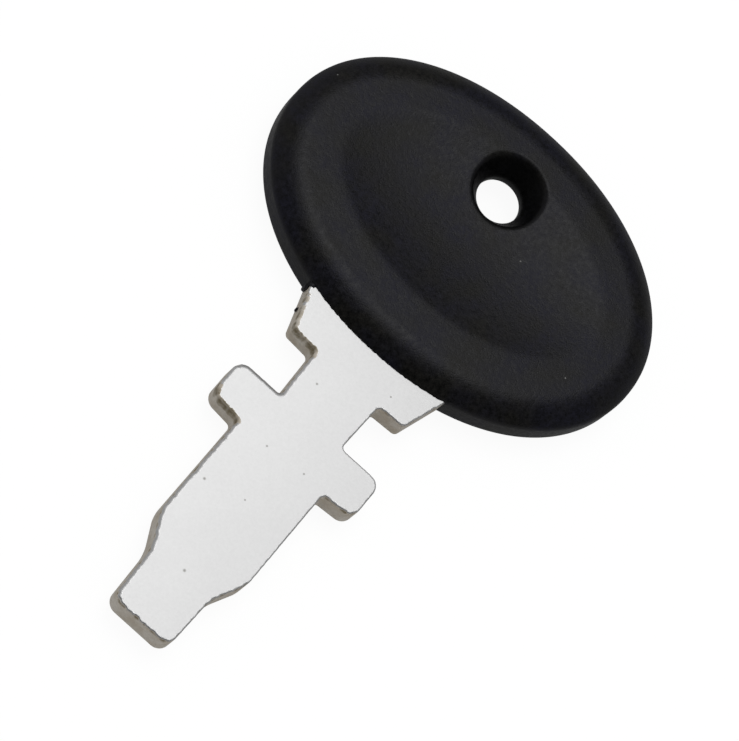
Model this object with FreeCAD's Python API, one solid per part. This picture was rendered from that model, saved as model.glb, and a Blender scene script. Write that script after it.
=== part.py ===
import FreeCAD, Part
import math
import os

# Tractor ignition key: a stamped steel blade with a black plastic head moulded over its tang.
# Millimetres. X runs across the key, Y from the tip of the blade to the far end of the head and
# Z up through the faces. The origin is under the middle of the key's length, on the surface
# that the head's lower land lies on. Reaches and places are measured from the middle of the head,
# reaches towards the tip and places towards the far end.

# Blade, from the head to the tip
blade_thickness = 2.4
blade_drop = 0.15           # the blade's middle lies a little below the middle of the head
shoulder_stand_out = 3.6    # from the edge of the head to the shoulder's edge at the neck
neck_length = 5.25          # the gap between a shoulder and a wing
wing_length = 4.45          # along the blade, at the root
main_length = 12.65         # from the wings to the middle of the sloped step
tip_length = 7.0            # from the middle of the sloped step to the end
shoulder_half_width = 6.32
shoulder_slope_deg = 3.5    # the shoulder's edge rises towards the head as it goes outwards
shoulder_flare_deg = 16.9   # the shoulder's side widens towards the head
shoulder_flare_length = 5.5
neck_half_width_at_shoulder = 3.6
neck_half_width_at_wing = 3.43
wing_half_span = 7.96
wing_lower_slope_deg = 4.8  # the wing narrows as it goes outwards
main_half_width = 4.78
step_slope_deg = 25.6       # the step's slope to the blade's length
tip_taper_deg = 1.6         # each side of the tip widens towards the head
tip_half_width = 3.07       # at the end of the tip
tip_corner_radius = 1.1
step_inner_radius = 4.0
step_outer_radius = 3.0
wing_corner_radius = 1.1
inner_corner_radius = 0.45
shoulder_corner_radius = 0.5
upper_edge_radius = 0.1      # the eased edges of the upper face

# Head
head_half_width = 19.5
head_half_length = 13.9
outline_exponent = 2.08     # 2 is a true ellipse
outline_points = 36
rim_band_half_height = 1.15  # the upright band round the rim
rim_rounding_height = 1.45  # from the band up or down to the flat land
rim_rounding_width = 2.9    # from the band in to the flat land
rim_sections = 7
land_width_at_sides = 2.7   # the flat land between the rounding and the dish
land_width_at_ends = 2.84
dish_offset = 0.45          # the dish lies a little nearer the keyring hole
dish_crown = 0.3            # how round the dish is, as its depth over its half width before scaling
thinnest_skin = 0.4         # plastic between the tang and the deepest point of the lower dish

# Keyring hole, with its throat at the level of the blade
ring_hole_to_edge = 7.9     # from the hole's axis to the far edge of the head
throat_radius = 2.15
throat_half_length = 0.4
mouth_slope_deg = 31.0      # the flare's slope to the hole's axis
mouth_clearance = 1.0       # how far the cutter stands out of the upper face

# Tang inside the head
plastic_by_hole = 2.2       # between the tang's end and the keyring hole
tang_corner_radius = 1.2
anchor_hole_radius = 1.6
anchor_hole_spacing = 8.4
anchor_hole_setback = 7.0   # from the tang's end to the holes' axes

# Sizes that follow from those above
head_half_thickness = rim_band_half_height + rim_rounding_height
dish_half_width = head_half_width - rim_rounding_width - land_width_at_sides
dish_half_length = head_half_length - rim_rounding_width - land_width_at_ends
tang_lower_reach = blade_thickness / 2 + blade_drop
dish_depth = head_half_thickness - tang_lower_reach - thinnest_skin
ring_hole_place = head_half_length - ring_hole_to_edge
mouth_slope = math.tan(math.radians(mouth_slope_deg))
hole_radius_at_tang = throat_radius + mouth_slope * max(0, blade_thickness / 2 - throat_half_length)
tang_end_place = ring_hole_place - hole_radius_at_tang - plastic_by_hole
shoulder_reach = head_half_length + shoulder_stand_out
wing_upper_reach = shoulder_reach + neck_length
wing_lower_reach = wing_upper_reach + wing_length
step_middle_reach = wing_lower_reach + main_length
tip_reach = step_middle_reach + tip_length
head_middle_y = (tip_reach - head_half_length) / 2
place_in_frame = FreeCAD.Vector(0, head_middle_y, head_half_thickness)
up = FreeCAD.Vector(0, 0, 1)


def rounded_outline(corners):
    """A closed flat wire through corners (x, y, radius), with a tangent arc at each one."""
    edges = []
    arc_ends = []
    count = len(corners)
    for index in range(count):
        x, y, radius = corners[index]
        corner = FreeCAD.Vector(x, y, 0)
        before = FreeCAD.Vector(corners[index - 1][0], corners[index - 1][1], 0)
        after = FreeCAD.Vector(corners[(index + 1) % count][0], corners[(index + 1) % count][1], 0)
        way_in = (before - corner).normalize()
        way_out = (after - corner).normalize()
        half_angle = way_in.getAngle(way_out) / 2
        setback = radius / math.tan(half_angle)
        start = corner + way_in * setback
        end = corner + way_out * setback
        middle_way = (way_in + way_out).normalize()
        middle = corner + middle_way * (radius / math.sin(half_angle) - radius)
        arc_ends.append((start, middle, end))
    for index in range(count):
        start, middle, end = arc_ends[index]
        edges.append(Part.Arc(start, middle, end).toShape())
        edges.append(Part.LineSegment(end, arc_ends[(index + 1) % count][0]).toShape())
    return Part.Wire(edges)


def blade_corners():
    """The right-hand half of the blade's outline, from the tip to the end of the tang."""
    taper = math.tan(math.radians(tip_taper_deg))
    slope = math.tan(math.radians(step_slope_deg))
    step_middle_x = (tip_half_width + main_half_width) / 2
    tip_side_gap = step_middle_x - tip_half_width - taper * tip_length
    inner_drop = tip_side_gap / (slope - taper)
    inner_x = step_middle_x - slope * inner_drop
    outer_rise = (main_half_width - step_middle_x) / slope
    wing_rise = math.tan(math.radians(wing_lower_slope_deg)) * (wing_half_span - main_half_width)
    shoulder_run = shoulder_half_width - neck_half_width_at_shoulder
    shoulder_y = -shoulder_reach + math.tan(math.radians(shoulder_slope_deg)) * shoulder_run
    flare_run = math.tan(math.radians(shoulder_flare_deg)) * shoulder_flare_length
    tang_half_width = shoulder_half_width + flare_run
    return [
        (tip_half_width, -tip_reach, tip_corner_radius),
        (inner_x, -step_middle_reach - inner_drop, step_inner_radius),
        (main_half_width, -step_middle_reach + outer_rise, step_outer_radius),
        (main_half_width, -wing_lower_reach, inner_corner_radius),
        (wing_half_span, -wing_lower_reach + wing_rise, wing_corner_radius),
        (wing_half_span, -wing_upper_reach, wing_corner_radius),
        (neck_half_width_at_wing, -wing_upper_reach, inner_corner_radius),
        (neck_half_width_at_shoulder, -shoulder_reach, inner_corner_radius),
        (shoulder_half_width, shoulder_y, shoulder_corner_radius),
        (tang_half_width, shoulder_y + shoulder_flare_length, tang_corner_radius),
        (tang_half_width, tang_end_place, tang_corner_radius),
    ]


def make_blade():
    """The stamped blade with its tang, cut in one stroke and eased along its upper edges."""
    right = blade_corners()
    left = [(-x, y, radius) for x, y, radius in reversed(right)]
    sheet = Part.Face(rounded_outline(right + left))
    blade = sheet.extrude(up * blade_thickness)
    upper_face = max(blade.Faces, key=lambda face: face.CenterOfMass.z)
    blade = blade.makeFillet(upper_edge_radius, upper_face.OuterWire.Edges)
    for side in (-1, 1):
        foot = FreeCAD.Vector(side * anchor_hole_spacing / 2, tang_end_place - anchor_hole_setback, 0)
        blade = blade.cut(Part.makeCylinder(anchor_hole_radius, blade_thickness, foot))
    blade.translate(up * (-blade_thickness / 2 - blade_drop))
    return blade


def oval_wire(inset, height):
    """The head's outline at a height, set in all round by an amount."""
    points = []
    power = 2 / outline_exponent
    for index in range(outline_points):
        turn = 2 * math.pi * index / outline_points
        across = math.copysign(abs(math.cos(turn)) ** power, math.cos(turn))
        along = math.copysign(abs(math.sin(turn)) ** power, math.sin(turn))
        x = (head_half_width - inset) * across
        y = (head_half_length - inset) * along
        points.append(FreeCAD.Vector(x, y, height))
    curve = Part.BSplineCurve()
    curve.interpolate(points, PeriodicFlag=True)
    return Part.Wire(curve.toShape())


def make_head_body():
    """The oval body: an upright band with a rounding above it and below it."""
    band = Part.Face(oval_wire(0, -rim_band_half_height)).extrude(up * 2 * rim_band_half_height)
    arc_radius = (rim_rounding_width ** 2 + rim_rounding_height ** 2) / (2 * rim_rounding_height)
    arc_angle = math.asin(rim_rounding_width / arc_radius)
    body = band
    for side in (-1, 1):
        wires = []
        for index in range(rim_sections):
            angle = arc_angle * (1 - index / (rim_sections - 1))
            inset = rim_rounding_width - arc_radius * math.sin(angle)
            height = head_half_thickness - arc_radius * (1 - math.cos(angle))
            wires.append(oval_wire(inset, side * height))
        body = body.fuse(Part.makeLoft(wires, True, False))
    return body.removeSplitter()


def make_dish_cutter(side):
    """A flattened ball whose cap is the shallow dish in one face."""
    ball_radius = (1 + dish_crown ** 2) / (2 * dish_crown)
    ball = Part.makeSphere(ball_radius)
    ball.rotate(FreeCAD.Vector(0, 0, 0), FreeCAD.Vector(0, 1, 0), -90 * side)
    ball.translate(up * (side * (ball_radius - dish_crown)))
    stretch = FreeCAD.Matrix()
    stretch.scale(dish_half_width, dish_half_length, dish_depth / dish_crown)
    ball = ball.transformGeometry(stretch)
    ball.translate(FreeCAD.Vector(0, dish_offset, side * head_half_thickness))
    return ball


def make_ring_hole_cutter():
    """The keyring hole: a short throat that flares to a wide mouth in each face."""
    flare_height = head_half_thickness + blade_drop + mouth_clearance - throat_half_length
    mouth_radius = throat_radius + flare_height * mouth_slope
    centre = FreeCAD.Vector(0, ring_hole_place, -blade_drop)
    cutter = Part.makeCylinder(throat_radius, 2 * throat_half_length, centre - up * throat_half_length)
    for side in (-1, 1):
        foot = centre + up * (side * throat_half_length)
        cutter = cutter.fuse(Part.makeCone(throat_radius, mouth_radius, flare_height, foot, up * side))
    return cutter


def make_head(blade):
    """The plastic head, moulded round the tang and through its anchor holes."""
    head = make_head_body()
    for side in (-1, 1):
        head = head.cut(make_dish_cutter(side))
    head = head.cut(make_ring_hole_cutter())
    return head.cut(blade)


def write_node(shape, name):
    """Moves a finished solid to its place and writes it."""
    placed = shape.copy()
    placed.translate(place_in_frame)
    solid = placed.Solids[0]
    print(name, len(placed.Solids), "solid", placed.isValid(), round(solid.Volume, 1), "cubic mm")
    placed.exportStep("parts/" + name + ".step")


os.makedirs("parts", exist_ok=True)
key_blade = make_blade()
key_head = make_head(key_blade)
write_node(key_blade, "key_blade")
write_node(key_head, "key_head")
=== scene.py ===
import math
import bmesh
import bpy
from mathutils import Euler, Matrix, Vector, noise


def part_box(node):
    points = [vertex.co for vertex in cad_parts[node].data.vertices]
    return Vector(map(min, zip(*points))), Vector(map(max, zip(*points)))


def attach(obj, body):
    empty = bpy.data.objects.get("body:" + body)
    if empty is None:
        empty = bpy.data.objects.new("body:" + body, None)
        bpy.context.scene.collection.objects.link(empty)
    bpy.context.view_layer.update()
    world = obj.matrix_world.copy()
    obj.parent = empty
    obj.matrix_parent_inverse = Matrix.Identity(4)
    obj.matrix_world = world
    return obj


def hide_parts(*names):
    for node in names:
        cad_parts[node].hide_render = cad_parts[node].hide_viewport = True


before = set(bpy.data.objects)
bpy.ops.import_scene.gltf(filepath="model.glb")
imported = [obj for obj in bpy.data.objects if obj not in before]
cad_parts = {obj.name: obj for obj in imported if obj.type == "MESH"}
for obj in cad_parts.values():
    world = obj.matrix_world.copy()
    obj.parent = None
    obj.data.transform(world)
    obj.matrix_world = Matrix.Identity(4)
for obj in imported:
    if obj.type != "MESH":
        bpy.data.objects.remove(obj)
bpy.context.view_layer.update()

# Tractor ignition key: a stamped steel blade in a moulded black head. Metres, in the model's own frame.
# X runs across the key, Y from the tip of the blade to the far end of the head, Z up through the faces.
MM = 0.001
HEAD_LOW, HEAD_HIGH = [Vector(corner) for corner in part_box("key_head")]
BLADE_LOW, BLADE_HIGH = [Vector(corner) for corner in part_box("key_blade")]

# Head
HEAD_HALF_WIDTH = HEAD_HIGH.x
HEAD_HALF_LENGTH = 13.9 * MM
HEAD_MIDDLE_Y = HEAD_HIGH.y - HEAD_HALF_LENGTH
HEAD_MIDDLE_Z = (HEAD_HIGH.z + HEAD_LOW.z) / 2
HEAD_HALF_THICKNESS = HEAD_HIGH.z - HEAD_MIDDLE_Z
OUTLINE_EXPONENT = 2.08          # 2 is a true ellipse
BAND_HALF_HEIGHT = 1.15 * MM     # the upright band round the rim
ROUNDING_WIDTH = 2.9 * MM        # from the band in to the flat land
RIM_EDGE_REACH = 0.35 * MM       # how far the edge between band and rounding is softened
LAND_AT_SIDES = 2.7 * MM
LAND_AT_ENDS = 2.84 * MM
RIM_EDGE_SHARE = 0.9             # the share of the rounding that keeps its own curve
DISH_OFFSET = 0.45 * MM          # the dish lies a little nearer the keyring hole
DISH_DEPTH = 0.85 * MM
DISH_CROWN = 0.3                 # how round the dish is, as its depth over its half width
DISH_EDGE_SOFTNESS = 0.06 * MM
RING_HOLE_Y = HEAD_HIGH.y - 7.9 * MM
THROAT_RADIUS = 2.15 * MM
THROAT_HALF_LENGTH = 0.4 * MM
THROAT_SOFTNESS = 0.08 * MM
MOUTH_SLOPE = math.tan(math.radians(31))
MOUTH_ROUNDING = 0.35 * MM
HEAD_POINTS_ROUND = 320
CROWDING = 0.45                  # how much closer the points lie beside the blade
FLARE_RINGS = 12
MOUTH_RINGS = 6
UPPER_FACE_RINGS = 72
LOWER_FACE_RINGS = 40
ROUNDING_RINGS = 12
RIM_EDGE_RINGS = 8

# Blade: stretches from the tip to the head
BLADE_MIDDLE_Z = (BLADE_LOW.z + BLADE_HIGH.z) / 2
TIP_LENGTH = 7.0 * MM            # from the end to the middle of the sloped step
MAIN_LENGTH = 12.65 * MM         # from the middle of the step to the wings
WING_LENGTH = 4.45 * MM
NECK_LENGTH = 5.25 * MM          # the gap between a wing and a shoulder
SHOULDER_FLARE_LENGTH = 5.5 * MM
STEP_INNER_RUN = 1.405 * MM      # from the step's middle to its inner corner, towards the tip
STEP_OUTER_RUN = 1.784 * MM      # and to its outer corner, towards the head
WING_RISE = 0.267 * MM           # the wing's outer corner lies this much nearer the head than its root
SHOULDER_RISE = 0.166 * MM       # and so does the shoulder's
# Blade: half widths
TIP_HALF_WIDTH = 3.07 * MM
STEP_INNER_HALF_WIDTH = 3.254 * MM
MAIN_HALF_WIDTH = 4.78 * MM
WING_HALF_SPAN = 7.96 * MM
NECK_HALF_WIDTH_AT_WING = 3.43 * MM
NECK_HALF_WIDTH_AT_SHOULDER = 3.6 * MM
SHOULDER_HALF_WIDTH = 6.32 * MM
TANG_HALF_WIDTH = 7.991 * MM
# Blade: corner radii
TIP_CORNER = 1.1 * MM
STEP_INNER_CORNER = 4.0 * MM
STEP_OUTER_CORNER = 3.0 * MM
INNER_CORNER = 0.45 * MM
WING_CORNER = 1.1 * MM
SHOULDER_CORNER = 0.5 * MM
TANG_CORNER = 1.2 * MM
# Blade: edges
EASED_EDGE = 0.1 * MM            # the radius of the eased upper edges
EASED_RINGS = 3                  # rings of points over an eased edge
LOWER_EDGE = 0.1 * MM            # the small bevel along the lower edges
CLEAN_SHEAR_HEIGHT = 0.8 * MM    # the punch cut clean at least up to here
BARE_FROM = 0.3                  # where the eased edge is more torn than this, its plating is gone
POINT_SPACING = 0.12 * MM        # between points along the blade's outline, outside the head
TANG_POINT_SPACING = 0.6 * MM
TANG_START_Y = HEAD_LOW.y + 2 * MM
RAGGED_LUMP = 0.45 * MM          # the length of one ragged lump along the sheared edge
PLATED, SHEARED = 0, 1           # the blade's two materials, in order
# Blade: marks
ANCHOR_HOLE_RADIUS = 1.6 * MM
ANCHOR_HOLE_X = 4.2 * MM
ANCHOR_HOLE_Y = BLADE_HIGH.y - 7.0 * MM
FACE_PITS = [                    # small pits in the upper face: x, y, radius
    (-3.7 * MM, -16.95 * MM, 0.12 * MM),
    (0.0 * MM, -24.37 * MM, 0.13 * MM),
    (-1.5 * MM, -10.84 * MM, 0.09 * MM),
    (2.39 * MM, -10.46 * MM, 0.09 * MM),
    (0.03 * MM, -15.91 * MM, 0.08 * MM),
    (-1.7 * MM, -3.35 * MM, 0.1 * MM),
    (3.81 * MM, 0.48 * MM, 0.08 * MM),
]
FLASH = [                        # plastic that squeezed out beside the blade, in mm: middle, half sizes
    ((-7.72, 3.5, 2.5), (0.26, 0.4, 0.95)),
    ((-7.42, 3.42, 3.58), (0.34, 0.3, 0.14)),
    ((-7.08, 1.38, 2.1), (0.12, 0.22, 0.28)),
    ((7.74, 3.52, 2.5), (0.27, 0.42, 0.95)),
    ((7.42, 3.42, 3.58), (0.36, 0.28, 0.14)),
]
FLASH_UNEVENNESS = 0.35
FLASH_PATTERN = 1.7              # bumps on a lump of flash, for each of its half sizes
RIPPLE_REACH = 0.05 * MM         # how far the plastic crept out along the blade's upper face, on average
RIPPLE_LENGTH = 0.32 * MM
RIPPLE_HALF_HEIGHT = 0.45 * MM
CRISP_ANGLE = math.radians(40)   # where two faces meet more steeply than this, the edge stays crisp

# Studio
CAMERA_PLACE = (-23.144 * MM, -172.702 * MM, 334.296 * MM)
CAMERA_TURN_DEG = (19.0865, -20.7948, 37.8365)
CAMERA_LENS = 213.77             # in millimetres, on a sensor 36 mm wide
SOFT_LIGHT_PLACE = (-0.04, 0.155, 0.58)
SOFT_LIGHT_SIZE = 0.36
SOFT_LIGHT_WATTS = 1.17
FLOOR_SIZE = 2.0
FLOOR_GLOW = 1.1                 # the floor's brightness to the camera
FLOOR_GLOW_SHARE = 0.85          # the rest is paint, which keeps the key's soft shadow
FLOOR_IN_REFLECTIONS = 0.3       # the floor's brightness in the key's reflections
FLOOR_IN_REFLECTIONS_SHARE = 0.7
SURROUND_FILL = 0.75             # the surround's brightness as light on matt surfaces
SURROUND_WHITE = 1.0             # and to the camera


def ramp(value, start, end):
    """How far a value has come from a start to an end: 0 before the start, 1 past the end."""
    return min(1, max(0, (value - start) / (end - start)))


def hex_colour(code):
    """An sRGB hex value as the linear colour that a shader takes."""
    channels = [int(code[place:place + 2], 16) / 255 for place in (1, 3, 5)]
    linear = [c / 12.92 if c <= 0.04045 else ((c + 0.055) / 1.055) ** 2.4 for c in channels]
    return (*linear, 1.0)


def pattern_scale(size_mm):
    """The texture scale at which one feature of a pattern measures this many millimetres."""
    return 1 / (size_mm * MM)


def add_node(tree, kind, settings=None, inputs=None):
    """A node with its settings, and a value or another node's output for each input by name or number."""
    node = tree.nodes.new(kind)
    for name, value in (settings or {}).items():
        setattr(node, name, value)
    for name, value in (inputs or {}).items():
        if isinstance(value, bpy.types.NodeSocket):
            tree.links.new(value, node.inputs[name])
        else:
            node.inputs[name].default_value = value
    return node


def new_material(name):
    """An empty node material and its tree."""
    material = bpy.data.materials.new(name)
    material.use_nodes = True
    material.node_tree.nodes.clear()
    return material, material.node_tree


def moulded_plastic():
    """Black ABS from a spark-eroded mould: a fine matt grain that breaks the sheen into tiny sparks."""
    material, tree = new_material("black ABS, matt moulded grain")
    place = add_node(tree, "ShaderNodeTexCoord").outputs["Object"]
    # the mould's eroded pits: really about 0.05 mm wide, drawn coarser and at two sizes, so that
    # the grain shows from where the photo was taken
    fine = add_node(tree, "ShaderNodeTexNoise", inputs={
        "Vector": place, "Scale": pattern_scale(0.13), "Detail": 2.0, "Roughness": 0.6})
    coarse = add_node(tree, "ShaderNodeTexNoise", inputs={
        "Vector": place, "Scale": pattern_scale(0.42), "Detail": 3.0, "Roughness": 0.65})
    pits = add_node(tree, "ShaderNodeMath", {"operation": "MULTIPLY_ADD"}, {
        0: coarse.outputs["Fac"], 1: 1.5, 2: fine.outputs["Fac"]})
    grain = add_node(tree, "ShaderNodeBump", inputs={
        "Height": pits.outputs[0], "Strength": 0.7, "Distance": 0.025 * MM})
    # the melt cooled unevenly: clouds a few millimetres wide, bluer and browner by a shade
    clouds = add_node(tree, "ShaderNodeTexNoise", inputs={
        "Vector": place, "Scale": pattern_scale(4.5), "Detail": 3.0, "Roughness": 0.55})
    tint = add_node(tree, "ShaderNodeValToRGB", inputs={0: clouds.outputs["Fac"]})
    tint.color_ramp.elements[0].position = 0.38
    tint.color_ramp.elements[0].color = hex_colour("#0E0D0A")
    tint.color_ramp.elements[1].position = 0.62
    tint.color_ramp.elements[1].color = hex_colour("#0A0A15")
    # painted light and shade of the grain: the colour is paler where the grain stands highest and blacker
    # where it is lowest
    grain_painted_light_and_shade = add_node(tree, "ShaderNodeMapRange", inputs={
        "Value": pits.outputs[0], "From Min": 0.8, "From Max": 1.7, "To Min": 0.0, "To Max": 2.4})
    grain_painted_colour = add_node(tree, "ShaderNodeMix", {"data_type": "RGBA", "blend_type": "MULTIPLY"}, {
        0: 1.0, 6: tint.outputs["Color"], 7: grain_painted_light_and_shade.outputs["Result"]})
    # painted shade: the keyring hole's wall and the rounding of its mouth are painted much darker
    flat_place = add_node(tree, "ShaderNodeVectorMath", {"operation": "MULTIPLY"}, {0: place, 1: (1, 1, 0)})
    hole_gap = add_node(tree, "ShaderNodeVectorMath", {"operation": "DISTANCE"}, {
        0: flat_place.outputs[0], 1: (0, RING_HOLE_Y, 0)})
    hole_painted_shade = add_node(tree, "ShaderNodeMapRange", inputs={
        "Value": hole_gap.outputs["Value"], "From Min": 3.2 * MM, "From Max": 3.7 * MM,
        "To Min": 0.15, "To Max": 1.0})
    painted_grain_and_hole_colour = add_node(tree, "ShaderNodeMix", {"data_type": "RGBA", "blend_type": "MULTIPLY"}, {
        0: 1.0, 6: grain_painted_colour.outputs[2], 7: hole_painted_shade.outputs["Result"]})
    # handling has polished it here and there
    sheen = add_node(tree, "ShaderNodeMapRange", inputs={
        "Value": coarse.outputs["Fac"], "From Min": 0.3, "From Max": 0.7, "To Min": 0.33, "To Max": 0.52})
    # grit and lint caught in the grain: sparse pale specks about a tenth of a millimetre wide
    grit = add_node(tree, "ShaderNodeTexVoronoi", inputs={"Vector": place, "Scale": pattern_scale(1.6)})
    near_grit = add_node(tree, "ShaderNodeMath", {"operation": "LESS_THAN"}, {
        0: grit.outputs["Distance"], 1: 0.045})
    chosen = add_node(tree, "ShaderNodeSeparateColor", inputs={0: grit.outputs["Color"]})
    few = add_node(tree, "ShaderNodeMath", {"operation": "GREATER_THAN"}, {0: chosen.outputs[0], 1: 0.8})
    speck = add_node(tree, "ShaderNodeMath", {"operation": "MULTIPLY"}, {
        0: near_grit.outputs[0], 1: few.outputs[0]})
    skin = add_node(tree, "ShaderNodeMix", {"data_type": "RGBA"}, {
        0: speck.outputs[0], 6: painted_grain_and_hole_colour.outputs[2], 7: hex_colour("#6A6A68")})
    shader = add_node(tree, "ShaderNodeBsdfPrincipled", inputs={
        "Base Color": skin.outputs[2], "Roughness": sheen.outputs["Result"], "IOR": 1.5,
        "Specular IOR Level": 0.25, "Specular Tint": hex_colour("#FCFCFF"),
        "Normal": grain.outputs["Normal"]})
    add_node(tree, "ShaderNodeOutputMaterial", inputs={"Surface": shader.outputs["BSDF"]})
    return material


def plated_face():
    """Zinc plate over cold-rolled sheet: a pale satin face, faintly clouded, with a few small pits."""
    material, tree = new_material("zinc plate on cold-rolled steel sheet")
    place = add_node(tree, "ShaderNodeTexCoord").outputs["Object"]
    # the plating bath leaves clouds a few millimetres wide
    clouds = add_node(tree, "ShaderNodeTexNoise", inputs={
        "Vector": place, "Scale": pattern_scale(6.0), "Detail": 4.0, "Roughness": 0.6})
    # the rolled sheet's fine matt tooth, drawn coarser than its few hundredths of a millimetre
    tooth = add_node(tree, "ShaderNodeTexNoise", inputs={
        "Vector": place, "Scale": pattern_scale(0.25), "Detail": 3.0, "Roughness": 0.6})
    shade = add_node(tree, "ShaderNodeValToRGB", inputs={0: clouds.outputs["Fac"]})
    shade.color_ramp.elements[0].position = 0.3
    shade.color_ramp.elements[0].color = hex_colour("#E8E8E8")
    shade.color_ramp.elements[1].position = 0.7
    shade.color_ramp.elements[1].color = hex_colour("#ECECEC")
    mottle = add_node(tree, "ShaderNodeMapRange", inputs={
        "Value": tooth.outputs["Fac"], "From Min": 0.25, "From Max": 0.75, "To Min": 0.96, "To Max": 1.02})
    # painted shade: the plate is painted a little darker towards the tip and on the right
    spot = add_node(tree, "ShaderNodeSeparateXYZ", inputs={0: place})
    along = add_node(tree, "ShaderNodeMapRange", inputs={
        "Value": spot.outputs["Y"], "From Min": -26 * MM, "From Max": -4 * MM,
        "To Min": 0.945, "To Max": 0.99})
    across = add_node(tree, "ShaderNodeMapRange", inputs={
        "Value": spot.outputs["X"], "From Min": -6 * MM, "From Max": 7 * MM, "To Min": 1.0, "To Max": 0.95})
    tip_and_right_painted_shade = add_node(tree, "ShaderNodeMath", {"operation": "MULTIPLY"}, {
        0: along.outputs["Result"], 1: across.outputs["Result"]})
    # the rolled tooth's mottle, together with the painted shade towards the tip and on the right
    worn = add_node(tree, "ShaderNodeMath", {"operation": "MULTIPLY"}, {
        0: tip_and_right_painted_shade.outputs[0], 1: mottle.outputs["Result"]})
    colour = add_node(tree, "ShaderNodeMix", {"data_type": "RGBA", "blend_type": "MULTIPLY"}, {
        0: 1.0, 6: shade.outputs["Color"], 7: worn.outputs[0]})
    pitted = 0.0
    for x, y, radius in FACE_PITS:
        gap = add_node(tree, "ShaderNodeVectorMath", {"operation": "DISTANCE"}, {
            0: place, 1: (x, y, BLADE_HIGH.z)})
        depth = add_node(tree, "ShaderNodeMapRange", {"interpolation_type": "SMOOTHSTEP"}, {
            "Value": gap.outputs["Value"], "From Min": 0.3 * radius, "From Max": 1.6 * radius,
            "To Min": 1.0, "To Max": 0.0})
        deepest = add_node(tree, "ShaderNodeMath", {"operation": "MAXIMUM"}, {
            0: pitted, 1: depth.outputs["Result"]})
        pitted = deepest.outputs[0]
    pit_shade = add_node(tree, "ShaderNodeMath", {"operation": "MULTIPLY"}, {0: pitted, 1: 0.75})
    surface = add_node(tree, "ShaderNodeMix", {"data_type": "RGBA"}, {
        0: pit_shade.outputs[0], 6: colour.outputs[2], 7: hex_colour("#86847E")})
    roughness = add_node(tree, "ShaderNodeMapRange", inputs={
        "Value": clouds.outputs["Fac"], "From Min": 0.3, "From Max": 0.7, "To Min": 0.49, "To Max": 0.51})
    height = add_node(tree, "ShaderNodeMath", {"operation": "SUBTRACT"}, {
        0: tooth.outputs["Fac"], 1: pitted})
    bump = add_node(tree, "ShaderNodeBump", inputs={
        "Height": height.outputs[0], "Strength": 0.25, "Distance": 0.01 * MM})
    shader = add_node(tree, "ShaderNodeBsdfPrincipled", inputs={
        "Base Color": surface.outputs[2], "Metallic": 1.0, "Roughness": roughness.outputs["Result"],
        "Normal": bump.outputs["Normal"]})
    add_node(tree, "ShaderNodeOutputMaterial", inputs={"Surface": shader.outputs["BSDF"]})
    return material


def sheared_edge():
    """Steel that the punch cut and tore: matt, warm grey, browner where it tore under the face, and painted
    darker there as shade in the undercut.
    """
    material, tree = new_material("sheared steel edge")
    place = add_node(tree, "ShaderNodeTexCoord").outputs["Object"]
    torn_and_shaded = add_node(tree, "ShaderNodeAttribute", {"attribute_name": "torn_and_shaded"}).outputs["Fac"]
    # rust and oil stain the edge in patches about a millimetre long
    stains = add_node(tree, "ShaderNodeTexNoise", inputs={
        "Vector": place, "Scale": pattern_scale(1.6), "Detail": 4.0, "Roughness": 0.6})
    # the tear's grain, drawn coarser than its few hundredths of a millimetre
    tear = add_node(tree, "ShaderNodeTexNoise", inputs={
        "Vector": place, "Scale": pattern_scale(0.22), "Detail": 3.0, "Roughness": 0.65})
    stain = add_node(tree, "ShaderNodeValToRGB", inputs={0: stains.outputs["Fac"]})
    stain.color_ramp.elements[0].position = 0.35
    stain.color_ramp.elements[0].color = hex_colour("#D4CABA")
    stain.color_ramp.elements[1].position = 0.6
    stain.color_ramp.elements[1].color = hex_colour("#E4DED4")
    speckle = add_node(tree, "ShaderNodeMapRange", inputs={
        "Value": tear.outputs["Fac"], "From Min": 0.3, "From Max": 0.7, "To Min": 0.88, "To Max": 1.08})
    # the torn zone, with the painted shade of the undercut under the face, breaks up into crisp dark
    # patches
    patches = add_node(tree, "ShaderNodeTexNoise", inputs={
        "Vector": place, "Scale": pattern_scale(0.45), "Detail": 3.0, "Roughness": 0.6})
    patchy = add_node(tree, "ShaderNodeMath", {"operation": "MULTIPLY_ADD"}, {
        0: patches.outputs["Fac"], 1: 1.4, 2: torn_and_shaded})
    tear_and_shade_share = add_node(tree, "ShaderNodeMapRange", inputs={
        "Value": patchy.outputs[0], "From Min": 1.0, "From Max": 1.8, "To Min": 0.0, "To Max": 1.0})
    steel = add_node(tree, "ShaderNodeMix", {"data_type": "RGBA", "blend_type": "MULTIPLY"}, {
        0: 1.0, 6: stain.outputs["Color"], 7: speckle.outputs["Result"]})
    # browner where the edge tore, and darker still as painted shade in the undercut under the face
    tear_and_shade_colour = add_node(tree, "ShaderNodeValToRGB", inputs={0: torn_and_shaded})
    tear_and_shade_colour.color_ramp.elements[0].position = 0.45
    tear_and_shade_colour.color_ramp.elements[0].color = hex_colour("#B0A591")
    tear_and_shade_colour.color_ramp.elements[1].position = 0.95
    tear_and_shade_colour.color_ramp.elements[1].color = hex_colour("#85795F")
    colour = add_node(tree, "ShaderNodeMix", {"data_type": "RGBA"}, {
        0: tear_and_shade_share.outputs["Result"], 6: steel.outputs[2], 7: tear_and_shade_colour.outputs["Color"]})
    bump = add_node(tree, "ShaderNodeBump", inputs={
        "Height": tear.outputs["Fac"], "Strength": 0.4, "Distance": 0.03 * MM})
    shader = add_node(tree, "ShaderNodeBsdfPrincipled", inputs={
        "Base Color": colour.outputs[2], "Metallic": 0.55, "Roughness": 0.6,
        "Normal": bump.outputs["Normal"]})
    add_node(tree, "ShaderNodeOutputMaterial", inputs={"Surface": shader.outputs["BSDF"]})
    return material


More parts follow.
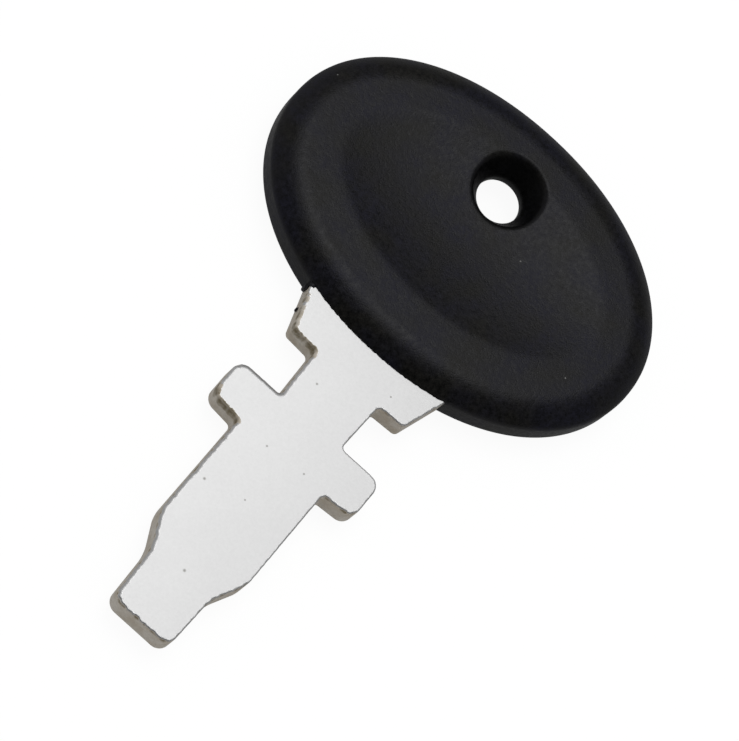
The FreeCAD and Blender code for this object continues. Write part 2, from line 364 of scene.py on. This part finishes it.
def loose_object(bm, name):
    """An object made of a bmesh, in the scene and at the origin."""
    mesh = bpy.data.meshes.new(name)
    bm.to_mesh(mesh)
    bm.free()
    piece = bpy.data.objects.new(name, mesh)
    bpy.context.scene.collection.objects.link(piece)
    return piece


def finish_piece(bm, name, node, materials):
    """Makes an object of a bmesh, which rides on the key and stands for its CAD node."""
    piece = loose_object(bm, name)
    for material in materials:
        piece.data.materials.append(material)
    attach(piece, "root")
    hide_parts(node)
    return piece


def cut_away(piece, other):
    """Cuts another object's volume out of a piece, and keeps the crisp edges crisp."""
    step = piece.modifiers.new("cut", "BOOLEAN")
    step.operation = "DIFFERENCE"
    step.solver = "EXACT"
    step.object = other
    graph = bpy.context.evaluated_depsgraph_get()
    result = bpy.data.meshes.new_from_object(piece.evaluated_get(graph))
    piece.modifiers.remove(step)
    piece.data = result
    result.set_sharp_from_angle(angle=CRISP_ANGLE)


def join_to(piece, other):
    """Adds another object's mesh to a piece as it is."""
    bm = bmesh.new()
    bm.from_mesh(piece.data)
    bm.from_mesh(other.data)
    bm.to_mesh(piece.data)
    bm.free()
    bpy.data.objects.remove(other)


def anchor_pins():
    """Two round pins where the tang's anchor holes go."""
    bm = bmesh.new()
    for side in (-1, 1):
        made = bmesh.ops.create_cone(bm, cap_ends=True, segments=48, radius1=ANCHOR_HOLE_RADIUS,
                                     radius2=ANCHOR_HOLE_RADIUS, depth=2 * HEAD_HIGH.z)
        middle = Vector((side * ANCHOR_HOLE_X, ANCHOR_HOLE_Y, BLADE_MIDDLE_Z))
        bmesh.ops.translate(bm, verts=made["verts"], vec=middle)
    return loose_object(bm, "pins")


def oval_point(turn, inset, height):
    """A point of the head's outline, set in all round by an amount."""
    power = 2 / OUTLINE_EXPONENT
    across = math.copysign(abs(math.cos(turn)) ** power, math.cos(turn))
    along = math.copysign(abs(math.sin(turn)) ** power, math.sin(turn))
    x = (HEAD_HALF_WIDTH - inset) * across
    y = HEAD_MIDDLE_Y + (HEAD_HALF_LENGTH - inset) * along
    return Vector((x, y, height))


def face_height(side, x, y):
    """The height of the head's upper or lower face, with its dish: a flattened ball's cap."""
    half_width = HEAD_HALF_WIDTH - ROUNDING_WIDTH - LAND_AT_SIDES
    half_length = HEAD_HALF_LENGTH - ROUNDING_WIDTH - LAND_AT_ENDS
    across = x / half_width
    along = (y - HEAD_MIDDLE_Y - DISH_OFFSET) / half_length
    ball_radius = (1 + DISH_CROWN ** 2) / (2 * DISH_CROWN)
    reach = min(across ** 2 + along ** 2, ball_radius ** 2)
    cap = math.sqrt(ball_radius ** 2 - reach) - ball_radius + DISH_CROWN
    drop = cap * DISH_DEPTH / DISH_CROWN
    soft_drop = (drop + math.hypot(drop, DISH_EDGE_SOFTNESS)) / 2
    return HEAD_MIDDLE_Z + side * (HEAD_HALF_THICKNESS - soft_drop)


def hole_point(turn, radius, height):
    """A point round the keyring hole's axis."""
    return Vector((radius * math.cos(turn), RING_HOLE_Y + radius * math.sin(turn), height))


def mouth_corner(side, turn):
    """Where the keyring hole's flare would meet the face, before the edge is rounded."""
    radius = THROAT_RADIUS
    # the face isn't flat there, so the corner is found in a few rounds
    for _ in range(8):
        spot = hole_point(turn, radius, 0)
        climb = side * (face_height(side, spot.x, spot.y) - BLADE_MIDDLE_Z)
        radius = THROAT_RADIUS + (climb - THROAT_HALF_LENGTH) * MOUTH_SLOPE
    return radius, climb


def flare_point(side, turn, share):
    """A point of the hole's wall, from the middle of the throat to the rounding of the mouth."""
    climb = share * (mouth_corner(side, turn)[1] - MOUTH_ROUNDING)
    past_throat = climb - THROAT_HALF_LENGTH
    widening = (past_throat + math.hypot(past_throat, THROAT_SOFTNESS)) / 2
    return hole_point(turn, THROAT_RADIUS + widening * MOUTH_SLOPE, BLADE_MIDDLE_Z + side * climb)


def rounded(start, corner, end, share):
    """A point of the curve that rounds a corner off between two points."""
    return start * (1 - share) ** 2 + corner * 2 * share * (1 - share) + end * share ** 2


def mouth_point(side, turn, share):
    """A point of the rounded edge of the hole's mouth."""
    radius, climb = mouth_corner(side, turn)
    corner = hole_point(turn, radius, BLADE_MIDDLE_Z + side * climb)
    end = hole_point(turn, radius + MOUTH_ROUNDING, 0)
    end.z = face_height(side, end.x, end.y)
    return rounded(flare_point(side, turn, 1), corner, end, share)


def face_point(side, turn, share):
    """A point of the face, between the hole's mouth and the rounding of the rim."""
    spot = mouth_point(side, turn, 1).lerp(oval_point(turn, ROUNDING_WIDTH, 0), share)
    spot.z = face_height(side, spot.x, spot.y)
    return spot


def rim_point(side, turn, share):
    """A point of the rim's rounding, from the land down to the upright band."""
    rise = HEAD_HALF_THICKNESS - BAND_HALF_HEIGHT
    arc_radius = (ROUNDING_WIDTH ** 2 + rise ** 2) / (2 * rise)
    angle = share * math.asin(ROUNDING_WIDTH / arc_radius)
    inset = ROUNDING_WIDTH - arc_radius * math.sin(angle)
    height = HEAD_HALF_THICKNESS - arc_radius * (1 - math.cos(angle))
    return oval_point(turn, inset, HEAD_MIDDLE_Z + side * height)


def rim_edge_point(side, turn, share):
    """A point of the softened edge between the rim's rounding and the upright band."""
    start = rim_point(side, turn, RIM_EDGE_SHARE)
    corner = oval_point(turn, 0, HEAD_MIDDLE_Z + side * BAND_HALF_HEIGHT)
    end = oval_point(turn, 0, HEAD_MIDDLE_Z + side * (BAND_HALF_HEIGHT - RIM_EDGE_REACH))
    return rounded(start, corner, end, share)


def half_head_rings(side, face_rings):
    """The rings of one half of the head, from the middle of the throat to the band, as point functions."""
    rings = [(flare_point, step / FLARE_RINGS) for step in range(FLARE_RINGS + 1)]
    rings += [(mouth_point, step / MOUTH_RINGS) for step in range(1, MOUTH_RINGS + 1)]
    rings += [(face_point, step / face_rings) for step in range(1, face_rings + 1)]
    rings += [(rim_point, RIM_EDGE_SHARE * step / ROUNDING_RINGS) for step in range(1, ROUNDING_RINGS + 1)]
    rings += [(rim_edge_point, step / RIM_EDGE_RINGS) for step in range(1, RIM_EDGE_RINGS + 1)]
    return [lambda turn, point=point, share=share: point(side, turn, share) for point, share in rings]


def flash_ripple(spot):
    """How far the plastic crept out along the blade's upper face at a point of the rim."""
    beside_blade = abs(spot.x) < 8 * MM and spot.y < HEAD_LOW.y + 3 * MM
    if not beside_blade or abs(spot.z - BLADE_HIGH.z) > RIPPLE_HALF_HEIGHT:
        return 0
    return RIPPLE_REACH * (1 + 2 * noise.noise(Vector((spot.x, 0, 0)) / RIPPLE_LENGTH))


def flash_lumps():
    """The small ragged lumps of flash beside the blade, as one object to join to the head."""
    bm = bmesh.new()
    for middle, half_sizes in FLASH:
        lump = bmesh.ops.create_icosphere(bm, subdivisions=3, radius=1)["verts"]
        for vert in lump:
            swell = 1 + FLASH_UNEVENNESS * noise.noise(vert.co * FLASH_PATTERN + Vector(middle))
            place = [m + h * swell * c for m, h, c in zip(middle, half_sizes, vert.co)]
            vert.co = Vector(place) * MM
    for face in bm.faces:
        face.smooth = True
    return loose_object(bm, "flash")


def blade_corners():
    """The right-hand half of the blade's outline, from the tip to the end of the tang: x, y, radius."""
    tip = BLADE_LOW.y
    step_middle = tip + TIP_LENGTH
    wing_lower = step_middle + MAIN_LENGTH
    wing_upper = wing_lower + WING_LENGTH
    shoulder = wing_upper + NECK_LENGTH
    shoulder_outer = shoulder + SHOULDER_RISE
    flare_end = shoulder_outer + SHOULDER_FLARE_LENGTH
    return [
        (TIP_HALF_WIDTH, tip, TIP_CORNER),
        (STEP_INNER_HALF_WIDTH, step_middle - STEP_INNER_RUN, STEP_INNER_CORNER),
        (MAIN_HALF_WIDTH, step_middle + STEP_OUTER_RUN, STEP_OUTER_CORNER),
        (MAIN_HALF_WIDTH, wing_lower, INNER_CORNER),
        (WING_HALF_SPAN, wing_lower + WING_RISE, WING_CORNER),
        (WING_HALF_SPAN, wing_upper, WING_CORNER),
        (NECK_HALF_WIDTH_AT_WING, wing_upper, INNER_CORNER),
        (NECK_HALF_WIDTH_AT_SHOULDER, shoulder, INNER_CORNER),
        (SHOULDER_HALF_WIDTH, shoulder_outer, SHOULDER_CORNER),
        (TANG_HALF_WIDTH, flare_end, TANG_CORNER),
        (TANG_HALF_WIDTH, BLADE_HIGH.y, TANG_CORNER),
    ]


def blade_sheet(bm):
    """The blade's flat outline with its corners rounded and points close enough for ragged edges."""
    right = blade_corners()
    left = [(-x, y, radius) for x, y, radius in reversed(right)]
    corners = [bm.verts.new((x, y, 0)) for x, y, radius in right + left]
    bm.faces.new(corners)
    for vert, (x, y, radius) in zip(corners, right + left):
        ways = [(edge.other_vert(vert).co - vert.co).normalized() for edge in vert.link_edges]
        setback = radius / math.tan(ways[0].angle(ways[1]) / 2)
        bmesh.ops.bevel(bm, geom=[vert], offset=setback, offset_type="OFFSET", segments=8, profile=0.5,
                        affect="VERTICES", material=-1)
    for edge in list(bm.edges):
        in_head = min(vert.co.y for vert in edge.verts) > TANG_START_Y
        cuts = int(edge.calc_length() / (TANG_POINT_SPACING if in_head else POINT_SPACING))
        if cuts:
            bmesh.ops.subdivide_edges(bm, edges=[edge], cuts=cuts)
    return bm.faces[:][0]


def edge_levels(worn, x, y, out_x, out_y):
    """The wall from the lower face up, at one point: height, inset and how torn it is, together with the
    painted shade of the undercut.
    """
    lump = noise.noise(Vector((x, y, 0)) / RAGGED_LUMP)
    grit = noise.noise(Vector((x, y, MM)) / (RAGGED_LUMP / 3))
    outside = 1 if worn and y < HEAD_LOW.y else 0
    on_left = ramp(x, 2 * MM, -2 * MM)
    ragged = outside * (0.25 + 0.35 * on_left * max(0, -out_x) + 0.75 * max(0, -out_y))
    wave = ragged * (0.6 * lump + 0.4 * grit)
    # the punch tore deepest round the left wing and the left notch
    near_wings = ramp(y, -13.5 * MM, -10.5 * MM)
    facing_tip = ramp(out_y, 0.35, -0.75)
    oily = near_wings * on_left * facing_tip
    depth = (0.2 + 0.8 * oily) * MM * (1 + 0.5 * lump)
    tear = outside * min(1, max(0, 0.55 + 0.5 * oily + 1.3 * lump))
    top = BLADE_HIGH.z
    rolled = on_left * max(0, out_y) + 0.5 * max(0, -out_x)
    eased = EASED_EDGE + outside * MM * (0.03 + 0.28 * rolled + 0.04 * lump)
    rim = max(0, MM * (0.06 * ragged + 0.16 * wave))
    # the torn value peaks in the undercut just under the face: partly the tear's own colour, partly painted
    # shade of the undercut
    levels = [
        (BLADE_LOW.z + LOWER_EDGE, 0.0, 0.0),
        (BLADE_LOW.z + CLEAN_SHEAR_HEIGHT, 0.0, 0.0),
        (top - eased - depth, 0.01 * MM * ragged, 0.0),
        (top - eased - 0.75 * depth, 0.02 * MM * ragged, 0.75 * tear),
        (top - eased - 0.45 * depth, 0.035 * MM * ragged, 0.9 * tear),
        (top - eased - 0.15 * depth, (0.05 + 0.05 * tear) * MM * ragged, tear),
        (top - eased, rim, 0.8 * tear),
    ]
    for step in range(1, EASED_RINGS + 1):
        angle = math.radians(90) * step / EASED_RINGS
        height = top - eased + eased * math.sin(angle)
        levels.append((height, rim + eased * (1 - math.cos(angle)), 0.9 * tear * oily))
    levels.append((top, rim + eased + 0.05 * MM, 0.0))
    return levels


def blade_skin(worn):
    """The blade's closed skin: its outline, raised ring by ring up the wall and over the eased edge."""
    bm = bmesh.new()
    sheet = blade_sheet(bm)
    sheet.normal_update()
    names = ("flat_x", "flat_y", "out_x", "out_y", "torn_and_shaded")
    flat_x, flat_y, out_x, out_y, torn_and_shaded = [bm.verts.layers.float.new(name) for name in names]
    ring = [loop.vert for loop in sheet.loops]
    for index, vert in enumerate(ring):
        along = (ring[(index + 1) % len(ring)].co - ring[index - 1].co).normalized()
        vert[out_x] = along.y * sheet.normal.z
        vert[out_y] = -along.x * sheet.normal.z
        vert[flat_x] = vert.co.x
        vert[flat_y] = vert.co.y
    bmesh.ops.delete(bm, geom=[sheet], context="FACES_ONLY")
    lower_edges = list(bm.edges)
    for vert in ring:
        vert.co.x -= vert[out_x] * LOWER_EDGE
        vert.co.y -= vert[out_y] * LOWER_EDGE
        vert.co.z = BLADE_LOW.z
    edges = lower_edges
    level_count = len(edge_levels(worn, 0, 0, 0, 0))
    last = level_count - 1
    for number in range(level_count):
        grown = bmesh.ops.extrude_edge_only(bm, edges=edges)["geom"]
        edges = [part for part in grown if isinstance(part, bmesh.types.BMEdge) and part.is_boundary]
        for vert in {vert for edge in edges for vert in edge.verts}:
            x, y = vert[flat_x], vert[flat_y]
            height, inset, vert[torn_and_shaded] = edge_levels(worn, x, y, vert[out_x], vert[out_y])[number]
            vert.co = (x - vert[out_x] * inset, y - vert[out_y] * inset, height)
        for face in {face for edge in edges for face in edge.link_faces}:
            stain = sum(vert[torn_and_shaded] for vert in face.verts) / 4
            bare = number < last - EASED_RINGS or (number < last and stain > BARE_FROM)
            face.material_index = SHEARED if bare else PLATED
            face.smooth = True
    bmesh.ops.contextual_create(bm, geom=edges, mat_nr=PLATED)
    bmesh.ops.contextual_create(bm, geom=lower_edges, mat_nr=PLATED)
    bmesh.ops.recalc_face_normals(bm, faces=bm.faces)
    return bm


def pierce_anchor_holes(piece):
    """Cuts the two anchor holes through a blade's tang."""
    pins = anchor_pins()
    cut_away(piece, pins)
    bpy.data.objects.remove(pins)


def key_blade_piece():
    """The stamped blade, plated on its faces and bare along its sheared edge."""
    materials = [plated_face(), sheared_edge()]
    blade = finish_piece(blade_skin(True), "stamped_blade", "key_blade", materials)
    pierce_anchor_holes(blade)


def key_head_piece():
    """The moulded head: one closed skin from the hole out to the rim and back, with room for the tang."""
    rings = half_head_rings(1, UPPER_FACE_RINGS) + half_head_rings(-1, LOWER_FACE_RINGS)[::-1]
    bm = bmesh.new()
    turn = bm.verts.layers.float.new("turn")
    bmesh.ops.create_circle(bm, segments=HEAD_POINTS_ROUND, radius=1)
    for vert in bm.verts:
        # the points crowd together beside the blade, where the flash needs them
        from_blade = math.atan2(vert.co.x, -vert.co.y)
        vert[turn] = from_blade - CROWDING * math.sin(from_blade) - math.radians(90)
        vert.co = rings[0](vert[turn])
    edges = list(bm.edges)
    for ring in rings[1:]:
        grown = bmesh.ops.extrude_edge_only(bm, edges=edges)["geom"]
        edges = [part for part in grown if isinstance(part, bmesh.types.BMEdge) and part.is_boundary]
        for vert in {vert for edge in edges for vert in edge.verts}:
            vert.co = ring(vert[turn])
            vert.co.y -= flash_ripple(vert.co)
    # the last ring meets the first one in the throat, which closes the skin
    bmesh.ops.remove_doubles(bm, verts=bm.verts, dist=0.001 * MM)
    bmesh.ops.recalc_face_normals(bm, faces=bm.faces)
    for face in bm.faces:
        face.smooth = True
    head = finish_piece(bm, "moulded_head", "key_head", [moulded_plastic()])
    flash = flash_lumps()
    tang_room = loose_object(blade_skin(False), "tang room")
    pierce_anchor_holes(tang_room)
    for part in (head, flash):
        cut_away(part, tang_room)
    bpy.data.objects.remove(tang_room)
    join_to(head, flash)


def studio_floor():
    """A plain pale floor under the key, white to the camera, which keeps the key's soft shadow."""
    material, tree = new_material("white studio floor")
    path = add_node(tree, "ShaderNodeLightPath")
    paint = add_node(tree, "ShaderNodeBsdfDiffuse", inputs={"Color": hex_colour("#C0C0C0")})
    glow = add_node(tree, "ShaderNodeEmission", inputs={"Strength": FLOOR_GLOW})
    dim = add_node(tree, "ShaderNodeEmission", inputs={"Strength": FLOOR_IN_REFLECTIONS})
    gloss_share = add_node(tree, "ShaderNodeMath", {"operation": "MULTIPLY"}, {
        0: path.outputs["Is Glossy Ray"], 1: FLOOR_IN_REFLECTIONS_SHARE})
    reflected = add_node(tree, "ShaderNodeMixShader", inputs={
        0: gloss_share.outputs[0], 1: paint.outputs[0], 2: dim.outputs[0]})
    camera_share = add_node(tree, "ShaderNodeMath", {"operation": "MULTIPLY"}, {
        0: path.outputs["Is Camera Ray"], 1: FLOOR_GLOW_SHARE})
    mix = add_node(tree, "ShaderNodeMixShader", inputs={
        0: camera_share.outputs[0], 1: reflected.outputs[0], 2: glow.outputs[0]})
    add_node(tree, "ShaderNodeOutputMaterial", inputs={"Surface": mix.outputs[0]})
    bm = bmesh.new()
    bmesh.ops.create_grid(bm, x_segments=2, y_segments=2, size=FLOOR_SIZE)
    floor = loose_object(bm, "floor")
    floor.data.materials.append(material)


def area_light(name, place, target, size, power):
    """A square soft light that faces a point."""
    light = bpy.data.lights.new(name, "AREA")
    light.shape = "SQUARE"
    light.size = size
    light.energy = power
    lamp = bpy.data.objects.new(name, light)
    lamp.location = place
    lamp.rotation_euler = (Vector(target) - Vector(place)).to_track_quat("-Z", "Y").to_euler()
    bpy.context.scene.collection.objects.link(lamp)


def world_light():
    """An even fill at a plain level, with a dim studio in the reflections and white for the camera."""
    world = bpy.data.worlds.new("surround")
    world.use_nodes = True
    tree = world.node_tree
    tree.nodes.clear()
    path = add_node(tree, "ShaderNodeLightPath")
    way = add_node(tree, "ShaderNodeSeparateXYZ", inputs={
        0: add_node(tree, "ShaderNodeTexCoord").outputs["Generated"]})
    surround = add_node(tree, "ShaderNodeMapRange", {"interpolation_type": "SMOOTHSTEP"}, {
        "Value": way.outputs["Y"], "From Min": -0.4, "From Max": 0.5, "To Min": 0.1, "To Max": 0.2})
    # a pale wall on the left and a greyer one on the right, as the key's two ends show them
    left_wall = add_node(tree, "ShaderNodeMapRange", {"interpolation_type": "SMOOTHSTEP"}, {
        "Value": way.outputs["X"], "From Min": -0.95, "From Max": -0.35, "To Min": 0.32, "To Max": 0.0})
    right_wall = add_node(tree, "ShaderNodeMapRange", {"interpolation_type": "SMOOTHSTEP"}, {
        "Value": way.outputs["X"], "From Min": 0.5, "From Max": 0.95, "To Min": 0.0, "To Max": 0.12})
    walls = add_node(tree, "ShaderNodeMath", {"operation": "ADD"}, {
        0: left_wall.outputs["Result"], 1: right_wall.outputs["Result"]})
    studio = add_node(tree, "ShaderNodeMath", {"operation": "ADD"}, {
        0: surround.outputs["Result"], 1: walls.outputs[0]})
    fill = add_node(tree, "ShaderNodeMix", {"data_type": "FLOAT"}, {
        0: path.outputs["Is Diffuse Ray"], 2: studio.outputs[0], 3: SURROUND_FILL})
    strength = add_node(tree, "ShaderNodeMix", {"data_type": "FLOAT"}, {
        0: path.outputs["Is Camera Ray"], 2: fill.outputs[0], 3: SURROUND_WHITE})
    glow = add_node(tree, "ShaderNodeBackground", inputs={"Strength": strength.outputs[0]})
    add_node(tree, "ShaderNodeOutputWorld", inputs={"Surface": glow.outputs[0]})
    bpy.context.scene.world = world


def camera():
    """The camera at the photograph's place: about 0.38 m off, from the tip's side and well above."""
    lens = bpy.data.cameras.new("camera")
    lens.sensor_width = 36.0
    lens.lens = CAMERA_LENS
    lens.clip_start = 0.01
    eye = bpy.data.objects.new("camera", lens)
    eye.location = CAMERA_PLACE
    eye.rotation_euler = Euler([math.radians(angle) for angle in CAMERA_TURN_DEG])
    bpy.context.scene.collection.objects.link(eye)
    bpy.context.scene.camera = eye


key_blade_piece()
key_head_piece()
studio_floor()
world_light()
area_light("large soft light", SOFT_LIGHT_PLACE, (0, 0, 0), SOFT_LIGHT_SIZE, SOFT_LIGHT_WATTS)
camera()
bpy.context.scene.view_settings.view_transform = "Standard"
